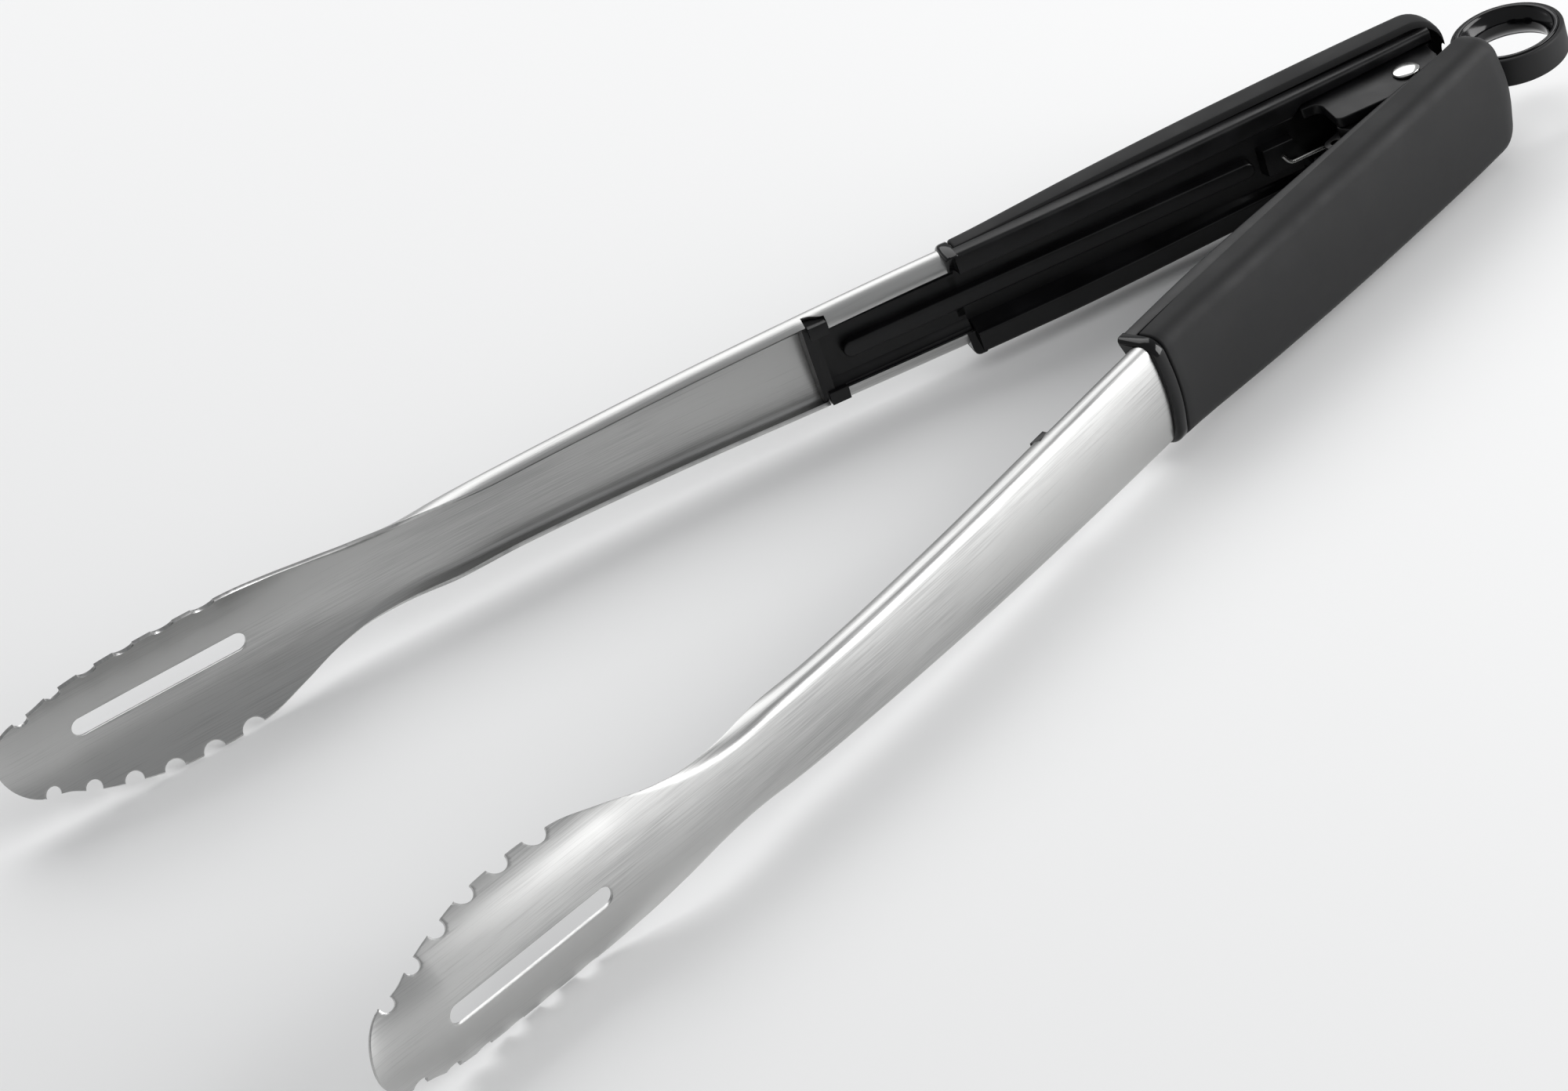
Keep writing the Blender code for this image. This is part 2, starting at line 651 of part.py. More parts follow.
def stand_on_floor(hinge):
    """Move the hinge so that the tongs' box is centred over the origin, with its base at zero height."""
    bpy.context.view_layer.update()
    graph = bpy.context.evaluated_depsgraph_get()
    corners = []
    for obj in bpy.data.objects:
        if obj.type in {"MESH", "CURVE"}:
            seen = obj.evaluated_get(graph)
            mesh = seen.to_mesh()
            corners += [seen.matrix_world @ vert.co for vert in mesh.vertices]
            seen.to_mesh_clear()
    xs, ys, zs = zip(*corners)
    step = 0.1 * MM
    middle_x, middle_y = (min(xs) + max(xs)) / 2, (min(ys) + max(ys)) / 2
    hinge.location = [-round(value / step) * step for value in (middle_x, middle_y, min(zs))]


for leftover in list(bpy.data.objects):
    bpy.data.objects.remove(leftover)
build()
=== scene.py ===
import bisect
import json
import math
from functools import lru_cache

import bmesh
import bpy
from mathutils import Matrix, Vector


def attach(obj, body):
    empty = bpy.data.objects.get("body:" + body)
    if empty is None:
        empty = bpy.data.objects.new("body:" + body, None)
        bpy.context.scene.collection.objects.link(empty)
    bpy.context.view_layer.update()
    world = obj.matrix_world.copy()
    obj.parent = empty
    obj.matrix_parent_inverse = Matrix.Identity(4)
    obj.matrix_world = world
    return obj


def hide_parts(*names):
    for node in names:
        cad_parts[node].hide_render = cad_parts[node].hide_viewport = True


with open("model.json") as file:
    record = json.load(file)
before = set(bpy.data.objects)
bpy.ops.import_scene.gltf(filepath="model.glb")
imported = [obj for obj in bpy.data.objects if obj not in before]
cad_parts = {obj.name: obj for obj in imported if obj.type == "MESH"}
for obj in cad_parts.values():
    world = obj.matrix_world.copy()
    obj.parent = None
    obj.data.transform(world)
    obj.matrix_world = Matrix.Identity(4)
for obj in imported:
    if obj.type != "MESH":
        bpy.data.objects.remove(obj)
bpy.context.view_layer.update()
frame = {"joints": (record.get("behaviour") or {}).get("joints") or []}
mm = 0.001
weld = 0.0005  # vertices nearer than this, in millimetres, become one
hinge = Vector(frame["joints"][0]["pos_m"])
print("frame loaded, hinge at", [round(v, 4) for v in hinge])

# Each arm is shaped in its own frame, in millimetres: X to the tip, Y out of the jaw, Z across.
opening = {"halfAngle": 15.5, "gap": 0.3}
armTurn = Matrix.Rotation(math.pi + math.radians(opening["halfAngle"]), 4, "Z")
armPlace = {
    "near": Matrix.Translation(hinge) @ armTurn @ Matrix.Scale(mm, 4),
    "far": Matrix.Translation(hinge) @ Matrix.Rotation(math.pi, 4, "X") @ armTurn @ Matrix.Scale(mm, 4),
}
hingePlace = Matrix.Translation(hinge) @ Matrix.Scale(mm, 4)


def along(table, s):
    # smooth value at s through (place, value) points, without overshoot
    keys = [k for k, _ in table]
    vals = [v for _, v in table]
    if s <= keys[0]:
        return vals[0]
    if s >= keys[-1]:
        return vals[-1]
    i = bisect.bisect_right(keys, s) - 1

    def slope(j):
        if j in (0, len(keys) - 1):
            return 0.0
        left = (vals[j] - vals[j - 1]) / (keys[j] - keys[j - 1])
        right = (vals[j + 1] - vals[j]) / (keys[j + 1] - keys[j])
        return 0.0 if left * right <= 0 else 2 * left * right / (left + right)

    span = keys[i + 1] - keys[i]
    t = (s - keys[i]) / span
    value = (1 - t) ** 2 * (1 + 2 * t) * vals[i] + t * t * (3 - 2 * t) * vals[i + 1]
    return value + span * (t * (1 - t) ** 2 * slope(i) - t * t * (1 - t) * slope(i + 1))


def ease(value, low, high):
    t = min(max((value - low) / (high - low), 0.0), 1.0)
    return t * t * (3 - 2 * t)


def arcPoints(centre, radius, start, end, steps):
    angles = [math.radians(start + (end - start) * i / steps) for i in range(steps + 1)]
    return [(centre[0] + radius * math.cos(a), centre[1] + radius * math.sin(a)) for a in angles]


def linear(hexColour):
    channels = [int(hexColour[i:i + 2], 16) / 255 for i in (0, 2, 4)]
    return tuple(c / 12.92 if c <= 0.04045 else ((c + 0.055) / 1.055) ** 2.4 for c in channels) + (1.0,)


def addNode(tree, kind, settings=None, links=None):
    node = tree.nodes.new(kind)
    for name, value in (settings or {}).items():
        if isinstance(name, int) or name in node.inputs:
            node.inputs[name].default_value = value
        else:
            setattr(node, name, value)
    for socket, source in (links or {}).items():
        tree.links.new(source, node.inputs[socket])
    return node


def newMaterial(name, shader):
    made = bpy.data.materials.new(name)
    made.use_nodes = True
    tree = made.node_tree
    tree.nodes.clear()
    surface = addNode(tree, "ShaderNodeBsdfPrincipled", shader)
    addNode(tree, "ShaderNodeOutputMaterial", links={"Surface": surface.outputs["BSDF"]})
    return made, tree, surface


def ramp(tree, factor, places, colours):
    node = addNode(tree, "ShaderNodeValToRGB", links={"Fac": factor})
    for element, place, colour in zip(node.color_ramp.elements, places, colours):
        element.position = place
        element.color = linear(colour)
    return node.outputs["Color"]


def noise(tree, vector, scale, detail, roughness=0.5):
    settings = {"Scale": scale, "Detail": detail, "Roughness": roughness}
    return addNode(tree, "ShaderNodeTexNoise", settings, {"Vector": vector}).outputs["Fac"]


def spread(tree, value, span, source=(0.0, 1.0)):
    # carries the source range of a value over to a span
    settings = {"From Min": source[0], "From Max": source[1], "To Min": span[0], "To Max": span[1]}
    return addNode(tree, "ShaderNodeMapRange", settings, {"Value": value}).outputs["Result"]


def weighted(tree, fine, weight, coarse):
    settings = {"operation": "MULTIPLY_ADD", 1: weight}
    return addNode(tree, "ShaderNodeMath", settings, {0: fine, 2: coarse}).outputs["Value"]


def relief(tree, height, strength, depth):
    settings = {"Strength": strength, "Distance": depth * mm}
    return addNode(tree, "ShaderNodeBump", settings, {"Height": height}).outputs["Normal"]


def stretched(tree, vector, alongSheet, acrossSheet):
    node = addNode(tree, "ShaderNodeMapping", {"Scale": (alongSheet, acrossSheet, 1.0)}, {"Vector": vector})
    return node.outputs["Vector"]


def plug(tree, surface, sources):
    for socket, source in sources.items():
        tree.links.new(source, surface.inputs[socket])


midNoise = (0.3, 0.7)
brushed = {
    "light": "C0C0BF", "dark": "9F9F9F", "tones": (0.65, 1.2), "lineSpacing": 0.3, "lineLength": 22.0,
    "lineDetail": 5.0, "lineRoughness": 0.62, "lineWeight": 0.9, "patch": 40.0, "patchStretch": (0.35, 2.2),
    "patchDetail": 3.0, "rough": (0.28, 0.36), "bump": 0.06, "bumpDepth": 0.02,
    "stretch": 0.6, "stretchTurn": 0.25,
}


def brushedStainless():
    # stainless sheet, brushed lengthwise: long faint scratches, a stretched satin highlight
    shader = {"Metallic": 1.0, "Anisotropic": brushed["stretch"],
              "Anisotropic Rotation": brushed["stretchTurn"]}
    made, tree, surface = newMaterial("brushedStainless", shader)
    uv = addNode(tree, "ShaderNodeUVMap", {"uv_map": "sheet"}).outputs["UV"]
    lines = stretched(tree, uv, 1 / (brushed["lineLength"] * mm), 1 / (brushed["lineSpacing"] * mm))
    scratches = noise(tree, lines, 1.0, brushed["lineDetail"], brushed["lineRoughness"])
    patches = stretched(tree, uv, *(share / (brushed["patch"] * mm) for share in brushed["patchStretch"]))
    cloud = noise(tree, patches, 1.0, brushed["patchDetail"])
    mixed = weighted(tree, scratches, brushed["lineWeight"], cloud)
    tangent = addNode(tree, "ShaderNodeTangent", {"direction_type": "UV_MAP", "uv_map": "sheet"})
    plug(tree, surface, {
        "Base Color": ramp(tree, mixed, brushed["tones"], (brushed["dark"], brushed["light"])),
        "Roughness": spread(tree, scratches, brushed["rough"], midNoise),
        "Normal": relief(tree, scratches, brushed["bump"], brushed["bumpDepth"]),
        "Tangent": tangent.outputs["Tangent"],
    })
    return made


bareMetal = {
    "polishedSteel": {"colour": "E4E4E2", "mark": 1.6, "detail": 4.0, "rough": (0.10, 0.24)},
    "drawnSpringWire": {"colour": "D2D2CF", "mark": 2.0, "detail": 2.0, "rough": (0.22, 0.30)},
}


def plainMetal(name):
    # bright steel with faint marks that only change its roughness
    metal = bareMetal[name]
    made, tree, surface = newMaterial(name, {"Metallic": 1.0, "Base Color": linear(metal["colour"])})
    place = addNode(tree, "ShaderNodeTexCoord").outputs["Object"]
    marks = noise(tree, place, 1 / (metal["mark"] * mm), metal["detail"])
    plug(tree, surface, {"Roughness": spread(tree, marks, metal["rough"])})
    return made


nylon = {
    "colour": "060607", "worn": "0C0C0E", "tones": (0.35, 0.75), "grain": 0.45, "grainDetail": 3.0,
    "sink": 9.0, "sinkDetail": 2.0, "bump": 0.25, "refraction": 1.53, "specular": 0.3,
}


def mouldedNylon(name, rough, grainDepth):
    # injection-moulded black nylon: satin from a fine mould texture, with soft sink patches
    shader = {"IOR": nylon["refraction"], "Specular IOR Level": nylon["specular"]}
    made, tree, surface = newMaterial(name, shader)
    place = addNode(tree, "ShaderNodeTexCoord").outputs["Object"]
    grain = noise(tree, place, 1 / (nylon["grain"] * mm), nylon["grainDetail"])
    sink = noise(tree, place, 1 / (nylon["sink"] * mm), nylon["sinkDetail"])
    plug(tree, surface, {
        "Base Color": ramp(tree, sink, nylon["tones"], (nylon["colour"], nylon["worn"])),
        "Roughness": spread(tree, sink, rough, midNoise),
        "Normal": relief(tree, grain, nylon["bump"], grainDepth),
    })
    return made


softCover = {
    "colour": "0F0F10", "light": "161617", "tones": (0.5, 0.95), "grit": 0.5, "gritRoughness": 0.7,
    "gritWeight": 0.45, "patch": 14.0, "detail": 4.0, "rough": (0.58, 0.72), "bump": 0.35, "bumpDepth": 0.03,
    "refraction": 1.5, "specular": 0.32, "sheen": 0.03, "sheenRoughness": 0.5,
}


def softTouch():
    # rubber-like cover with a mould finish: dead matt, a slight velvet sheen, fine grit
    shader = {"IOR": softCover["refraction"], "Specular IOR Level": softCover["specular"],
              "Sheen Weight": softCover["sheen"], "Sheen Roughness": softCover["sheenRoughness"]}
    made, tree, surface = newMaterial("softTouchRubber", shader)
    place = addNode(tree, "ShaderNodeTexCoord").outputs["Object"]
    grit = noise(tree, place, 1 / (softCover["grit"] * mm), softCover["detail"], softCover["gritRoughness"])
    patch = noise(tree, place, 1 / (softCover["patch"] * mm), softCover["detail"])
    mixed = weighted(tree, grit, softCover["gritWeight"], patch)
    plug(tree, surface, {
        "Base Color": ramp(tree, mixed, softCover["tones"], (softCover["colour"], softCover["light"])),
        "Roughness": spread(tree, patch, softCover["rough"], midNoise),
        "Normal": relief(tree, grit, softCover["bump"], softCover["bumpDepth"]),
    })
    return made


finish = {
    "sheet": brushedStainless(),
    "polished": plainMetal("polishedSteel"),
    "wire": plainMetal("drawnSpringWire"),
    "satinNylon": mouldedNylon("satinNylon", (0.34, 0.46), 0.02),
    "glossNylon": mouldedNylon("glossNylon", (0.10, 0.18), 0.006),
    "cover": softTouch(),
}
print("materials made:", len(finish))


def addPiece(name, bm, surface, body, place=None, smooth=35, replaces=()):
    # mesh from bm, put in place, painted and set riding
    mesh = bpy.data.meshes.new(name)
    bm.to_mesh(mesh)
    bm.free()
    if place is not None:
        mesh.transform(place)
    mesh.shade_smooth()
    mesh.set_sharp_from_angle(angle=math.radians(smooth))
    mesh.materials.append(finish[surface])
    obj = bpy.data.objects.new(name, mesh)
    bpy.context.scene.collection.objects.link(obj)
    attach(obj, body)
    if replaces:
        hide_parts(*replaces)
    return obj


def closeUp(bm):
    # seams welded, open ends filled, faces turned out
    bmesh.ops.remove_doubles(bm, verts=bm.verts, dist=weld)
    loose = [e for e in bm.edges if e.is_boundary]
    if loose:
        bmesh.ops.holes_fill(bm, edges=loose, sides=0)
    bmesh.ops.recalc_face_normals(bm, faces=bm.faces)


def sweep(ringAt, stations):
    # closed solid through the same ring at each station
    rings = [ringAt(s) for s in stations]
    count = len(rings[0])
    bm = bmesh.new()
    bmesh.ops.create_grid(bm, x_segments=len(stations) - 1, y_segments=count, size=0.5)
    for vert in bm.verts:
        i = round((vert.co.x + 0.5) * (len(stations) - 1))
        j = round((vert.co.y + 0.5) * count) % count
        vert.co = rings[i][j]
    closeUp(bm)
    return bm


def slab(outline, low, high, edge=0.0, segments=2):
    # flat plate across the arm from an outline in X and Y, with its rims rounded
    bm = bmesh.new()
    verts = [bm.verts.new((x, y, low)) for x, y in outline]
    face = bm.faces.new(verts)
    made = bmesh.ops.extrude_face_region(bm, geom=[face])
    top = [v for v in made["geom"] if isinstance(v, bmesh.types.BMVert)]
    bmesh.ops.translate(bm, verts=top, vec=(0, 0, high - low))
    bmesh.ops.recalc_face_normals(bm, faces=bm.faces)
    if edge:
        rims = [e for e in bm.edges if abs(e.verts[0].co.z - e.verts[1].co.z) < 1e-6]
        bmesh.ops.bevel(bm, geom=rims, offset=edge, offset_type="OFFSET", segments=segments, profile=0.5,
                        affect="EDGES", material=-1, clamp_overlap=True)
    return bm


def section(s, points):
    # points of (across, out) set at s along the arm
    return [Vector((s, d, w)) for w, d in points]


def bothWays(upper):
    # profile of (radius, height) points with its mirror image below
    return [(r, -z) for r, z in reversed(upper)] + upper


def spun(profile, steps=64):
    # turned solid from (radius, height) points
    bm = bmesh.new()
    path = [bm.verts.new((r, 0, z)) for r, z in profile]
    edges = [bm.edges.new(pair) for pair in zip(path, path[1:])]
    bmesh.ops.spin(bm, geom=path + edges, axis=(0, 0, 1), cent=(0, 0, 0), steps=steps, angle=math.tau,
                   use_merge=True)
    bmesh.ops.remove_doubles(bm, verts=bm.verts, dist=weld)
    bmesh.ops.recalc_face_normals(bm, faces=bm.faces)
    return bm


def merge(first, second):
    # adds the second bmesh to the first
    mesh = bpy.data.meshes.new("part")
    second.to_mesh(mesh)
    second.free()
    first.from_mesh(mesh)
    bpy.data.meshes.remove(mesh)
    return first


steel = {
    "length": 415.0, "sheet": 1.0, "tail": 95.0, "backRadius": 48.0,
    "cornerRadius": 3.0, "cornerTurn": 75.0, "flangeLoss": 0.35, "bowlCurl": 12.0,
    "flangeRadius": 6.0, "flangeTurn": 55.0, "lip": 1.5, "lipCurl": 1.6,
    "bowlRadius": 26.0, "tipRadius": 13.0, "bowlStart": 150.0, "bowlFull": 78.0,
    "clipStart": 170.0, "clipLength": 6.0, "clipCut": 3.6,
    "halfWidth": [(13, 13.2), (21, 16.1), (31, 18.4), (45, 20.2), (58, 20.5), (70, 19.8),
                  (82, 17.3), (94, 14.2), (106, 12.2), (121, 11.5), (150, 11.9), (280, 14.6), (430, 14.9)],
    "crown": [(0, -12.6), (25, -8.3), (70, -1.8), (105, 3.0), (138, 6.8), (175, 9.9),
              (215, 11.8), (280, 12.8), (430, 13.0)],
    "slotWidth": 5.5, "slotFront": 24.5, "slotLength": 45.0,
    "notches": 6, "firstNotch": 10.9, "pitch": 10.0, "pitchGrowth": 0.4, "notchWidth": 4.1,
    "notchGrowth": 0.54, "notchDepth": 2.8, "notchReach": 12, "cutSpan": 60, "snap": 0.75,
    "columns": 72, "rows": (22, 58, 128, 30), "fine": 86, "deburr": 0.14, "deburrAngle": 55,
}


def halfWidth(s):
    fromTip = steel["length"] - s
    if fromTip < steel["tipRadius"]:
        return math.sqrt(max(steel["tipRadius"] ** 2 - (steel["tipRadius"] - fromTip) ** 2, 0.0))
    return along(steel["halfWidth"], fromTip)


def walkArcs(arcs, crown, reach):
    # point and turn at a distance from the crown, measured round the section
    w, d, angle = 0.0, crown, 0.0
    for length, radius in arcs:
        step = min(max(reach, 0.0), length)
        turned = angle + step / radius
        w += radius * (math.sin(turned) - math.sin(angle))
        d += radius * (math.cos(turned) - math.cos(angle))
        angle = turned
        reach -= length
    return w, d, angle


@lru_cache(maxsize=None)
def sectionArcs(s):
    fromTip = steel["length"] - s
    bowl = ease(-fromTip, -steel["bowlStart"], -steel["bowlFull"])
    pastClip = ease(s, steel["clipStart"], steel["clipStart"] + steel["clipLength"])
    flange = (1 - bowl) * (1 - steel["flangeLoss"] * pastClip)
    curvature = (1 - bowl) / steel["backRadius"] + bowl / steel["bowlRadius"]
    corner = steel["cornerRadius"] * math.radians(steel["cornerTurn"]) * (1 - bowl)
    side = steel["flangeRadius"] * math.radians(steel["flangeTurn"]) * flange + steel["lip"] * flange
    curl = steel["flangeRadius"] + steel["bowlCurl"] * bowl - steel["lipCurl"] * (1 - pastClip)
    tail = [(corner, steel["cornerRadius"]), (side, curl)]
    low, high, target = 0.0, 30.0, halfWidth(s)
    for _ in range(36):
        back = (low + high) / 2
        arcs = [(back, 1 / curvature)] + tail
        marks = [back, back + corner] + [back + corner + side * k / 4 for k in (1, 2, 3, 4)]
        widest = max(walkArcs(arcs, 0.0, mark)[0] for mark in marks)
        low, high = (back, high) if widest < target else (low, back)
    return tuple([(back, 1 / curvature)] + tail)


def blankHalf(s):
    return sum(length for length, _ in sectionArcs(round(s, 2)))


def formed(s, across, inset=0.0):
    # flat blank coordinates to the bent sheet
    arcs = sectionArcs(round(s, 2))
    crown = along(steel["crown"], steel["length"] - s)
    w, d, a = walkArcs(arcs, crown, abs(across))
    w, d = w - inset * math.sin(a), d - inset * math.cos(a)
    return Vector((s, d, math.copysign(w, across)))


def armRows():
    # places along the blank, closest together in the head
    length, tip, fine = steel["length"], steel["tipRadius"], steel["fine"]
    tailRows, armCount, headRows, tipRows = steel["rows"]
    clip = [steel["clipStart"], steel["clipStart"] + steel["clipLength"]]
    rows = [steel["tail"] + k * (clip[0] - steel["tail"]) / tailRows for k in range(tailRows)]
    rows += [clip[0] + k for k in range(int(steel["clipLength"]))]
    rows += [clip[1] + k * (length - fine - clip[1]) / armCount for k in range(armCount)]
    rows += [length - fine + k * (fine - tip) / headRows for k in range(headRows)]
    return rows + [length - tip * (1 - math.sin(math.radians(90 * k / tipRows))) for k in range(tipRows + 1)]


def notchList():
    fromTip = steel["firstNotch"]
    for i in range(steel["notches"]):
        yield steel["length"] - fromTip, steel["notchWidth"] + i * steel["notchGrowth"]
        fromTip += steel["pitch"] + i * steel["pitchGrowth"]


def cutOuts():
    # round cut-outs in the flat blank: (line start, line end, radius)
    found = []
    front = steel["length"] - steel["slotFront"]
    found.append((Vector((front - steel["slotLength"], 0)), Vector((front, 0)), steel["slotWidth"] / 2))
    for s, width in notchList():
        slope = blankHalf(s + 0.5) - blankHalf(s - 0.5)
        normal = Vector((-slope, 1)).normalized()
        radius = width / 2
        for side in (-1, 1):
            rim = Vector((s, side * blankHalf(s)))
            out = Vector((normal.x, side * normal.y))
            inner = rim - out * (steel["notchDepth"] - radius)
            found.append((inner, inner + out * steel["notchReach"], radius))
    return found


def distance(point, cut):
    start, end, radius = cut
    way = end - start
    t = min(max((point - start).dot(way) / way.length_squared, 0.0), 1.0)
    nearest = start + way * t
    return (point - nearest).length - radius, nearest


def makeArm(side):
    rows = armRows()
    bm = bmesh.new()
    bmesh.ops.create_grid(bm, x_segments=len(rows) - 1, y_segments=steel["columns"], size=0.5)
    for vert in bm.verts:
        s = rows[round((vert.co.x + 0.5) * (len(rows) - 1))]
        vert.co = (s, 2 * vert.co.y * blankHalf(s), 0)
    cuts = cutOuts()
    doomed = []
    clipEnd = steel["clipStart"] + steel["clipLength"]
    for face in bm.faces:
        centre = face.calc_center_median()
        near = [c for c in cuts if abs(centre.x - c[0].x) < steel["cutSpan"]]
        punched = any(distance(centre.xy, c)[0] < 0 for c in near)
        inClip = steel["clipStart"] < centre.x < clipEnd
        if punched or (inClip and abs(centre.y) > blankHalf(centre.x) - steel["clipCut"]):
            doomed.append(face)
    bmesh.ops.delete(bm, geom=doomed, context="FACES")
    for vert in bm.verts:
        if not vert.is_boundary:
            continue
        for cut in cuts:
            gap, nearest = distance(vert.co.xy, cut)
            if abs(gap) < steel["snap"] and abs(vert.co.x - cut[0].x) < steel["cutSpan"]:
                way = (vert.co.xy - nearest).normalized()
                spot = nearest + way * cut[2]
                limit = blankHalf(min(spot.x, steel["length"]))
                vert.co = (spot.x, min(max(spot.y, -limit), limit), 0)
    sheetMap = bm.loops.layers.uv.new("sheet")
    for face in bm.faces:
        for loop in face.loops:
            loop[sheetMap].uv = (loop.vert.co.x * mm, loop.vert.co.y * mm)
    for vert in bm.verts:
        vert.co = formed(vert.co.x, vert.co.y)
    bmesh.ops.remove_doubles(bm, verts=bm.verts, dist=weld)
    bm.normal_update()
    if sum(f.normal.y for f in bm.faces) < 0:
        bmesh.ops.reverse_faces(bm, faces=bm.faces)
    obj = addPiece(side + "SteelArm", bm, "sheet", side + "_side", armPlace[side], 40, [side + "_arm"])
    wall = obj.modifiers.new("sheet", "SOLIDIFY")
    wall.thickness, wall.offset, wall.use_even_offset = steel["sheet"] * mm, -1, True
    rim = obj.modifiers.new("deburred", "BEVEL")
    rim.width, rim.segments, rim.limit_method = steel["deburr"] * mm, 2, "ANGLE"
    rim.angle_limit = math.radians(steel["deburrAngle"])
    return obj


for side in ("near", "far"):
    made = makeArm(side)
    print(side, "steel arm formed,", len(made.data.polygons), "faces")


grip = {
    "front": 135.0, "collar": 3.7, "rear": -16.5, "coreRear": -12.0, "corner": 5.0, "crownSag": 1.2,
    "endRound": 9.0, "endRoundDepth": 5.0, "coverSide": 2.2, "coverTop": 2.0,
    "crown": [(-20, 22.6), (0, 22.5), (45, 20.8), (90, 17.8), (135, 14.6)],
    "halfWidth": [(-20, 17.6), (0, 17.5), (70, 17.0), (110, 16.2), (135, 15.6)],
    "parting": [(-20, 12.0), (0, 11.4), (65, 8.5), (135, 5.4)],
    "coreHalfWidth": [(-12, 14.8), (20, 15.0), (60, 15.2), (112, 15.6), (135, 15.6)],
    "innerEdge": [(-12, 8.6), (0, 7.6), (20, 6.0), (60, 3.4), (90, 1.6), (110, 0.9), (135, 0.8)],
}


def gripOutline(s, bottom, widthInset=0.0, depthInset=0.0):
    side = along(grip["halfWidth"], s) - widthInset
    top = along(grip["crown"], s) - depthInset
    radius = min(grip["corner"], side - 1, top - bottom - grip["crownSag"] - 0.5)
    corner = arcPoints((side - radius, top - grip["crownSag"] - radius), radius, 0, 80, 10)
    crown = [((side - radius) * k / 6, top - grip["crownSag"] * (k / 6) ** 2) for k in (5, 4, 3, 2, 1)]
    edge = [(side - 0.5, bottom), (side - 0.15, bottom + 0.12), (side, bottom + 0.5)]
    half = edge + corner + crown
    return half + [(0.0, top)] + [(-w, d) for w, d in reversed(half)]


def coverRing(s, shrink, lead=0.0):
    outer = gripOutline(s, along(grip["parting"], s), grip["endRound"] * shrink + lead,
                        grip["endRoundDepth"] * shrink + lead)
    top, side, bottom = outer[len(outer) // 2][1], outer[3][0], outer[0][1]
    width, rise = side - grip["coverSide"], top - grip["coverTop"] - bottom
    turns = [math.pi * k / 12 for k in range(13)]
    inner = [(-width * math.cos(a), bottom + rise * math.sin(a) ** 0.6) for a in turns]
    return section(s, outer + inner)


def makeCover(side):
    turns = [math.radians(a) for a in range(88, -1, -8)]
    rear = [(grip["rear"] + grip["endRound"] * (1 - math.sin(a)), 1 - math.cos(a), 0.0) for a in turns]
    front = [(s, 0.0, 0.0) for s in range(-4, 130, 4)]
    end = grip["front"] - grip["collar"] - opening["gap"]
    front += [(end - 0.6, 0.0, 0.0), (end - 0.25, 0.0, 0.12), (end, 0.0, 0.45)]
    places = {s: (shrink, lead) for s, shrink, lead in rear + front}
    bm = sweep(lambda s: coverRing(s, *places[s]), list(places))
    addPiece(side + "GripCover", bm, "cover", side + "_side", armPlace[side], 40, [side + "_grip_cover"])


core = {
    "trough": 9.2, "troughFloor": 7.5, "tongueFront": 177.0, "tongueWall": 3.4, "ribHalf": 2.3, "ribTop": 4.6,
    "ribStart": 46.0, "ribEnd": 168.0, "ear": 3.0, "earInner": 4.6, "earGap": 0.3, "earDepth": 8.3,
    "earNose": 24.4, "earRear": 10.2, "pocketFloor": 9.3, "pocketFront": 32.0, "pocketHalf": 11.35,
    "seatTop": 3.9, "seatHalf": 4.2, "hook": (8.4, 12.3, 2.5, 4.6),
}


def railRing(s):
    # one side of the handle body, from the trough to the outside
    side = along(grip["coreHalfWidth"], s)
    low, high = along(grip["innerEdge"], s), along(grip["parting"], s) - opening["gap"]
    inPocket = 1 - ease(s, core["pocketFront"] - 3.5, core["pocketFront"])
    inner = core["trough"] + (core["pocketHalf"] - core["trough"]) * inPocket
    foot = core["troughFloor"] + 0.6 + 1.6 * inPocket
    outer = arcPoints((side - 1.2, low + 1.2), 1.2, 0, -90, 5)
    bead = arcPoints((inner + 0.75, low + 0.55), 0.55, -90, -180, 4)
    wall = [(inner + 0.2, low + 1.1), (inner + 0.15, low + 1.6), (inner - 0.1 * (1 - inPocket), low + 2.4)]
    floor = [(inner - 1.0 * (1 - inPocket), foot - 1.2), (inner - 1.6 * (1 - inPocket), foot)]
    ring = [(side - 0.45, high), (side - 0.1, high - 0.15), (side, high - 0.45)] + outer + bead + wall + floor
    return ring + [(side - 3.0, high)]


def mirrored(bm):
    made = bmesh.ops.duplicate(bm, geom=bm.verts[:] + bm.edges[:] + bm.faces[:])["geom"]
    verts = [v for v in made if isinstance(v, bmesh.types.BMVert)]
    bmesh.ops.scale(bm, vec=(1, 1, -1), verts=verts)
    bmesh.ops.recalc_face_normals(bm, faces=bm.faces)
    return bm


def steelInside(s, extra):
    # the sheet's inner surface moved in a little more, from lip to lip
    arcs = sectionArcs(round(s, 2))
    total = sum(length for length, _ in arcs)
    return [formed(s, total * k / 16, steel["sheet"] + extra) for k in range(-16, 17)]


def tongueRing(s):
    # nylon lining of the channel in front of the handle
    outer = steelInside(s, opening["gap"])
    lip = outer[-1]
    floor = core["troughFloor"]
    trough, foot = core["trough"] - 0.3, core["trough"] - 1.5
    inner = [(trough, lip.y + 0.1), (trough - 0.3, lip.y + 0.8), (foot, floor - 0.9)]
    inner += [(foot - 0.7, floor - 0.15), (foot - 1.6, floor)]
    inner += [(-w, d) for w, d in reversed(inner)]
    return outer + section(s, inner)


def rimRing(s):
    # end wall of the tongue, with a sloped front lip
    slope = max(0.0, s - (core["tongueFront"] - 2.2)) * 0.5
    outer = steelInside(s, opening["gap"])
    low = 3.6 + slope
    half = outer[-1].z
    return outer + [Vector((s, low, half * k)) for k in (0.92, 0.5, 0, -0.5, -0.92)]


def roundEnded(start, end, half, steps=12):
    rear = arcPoints((start + half, 0), half, 90, 270, steps)
    return rear + arcPoints((end - half, 0), half, -90, 90, steps)


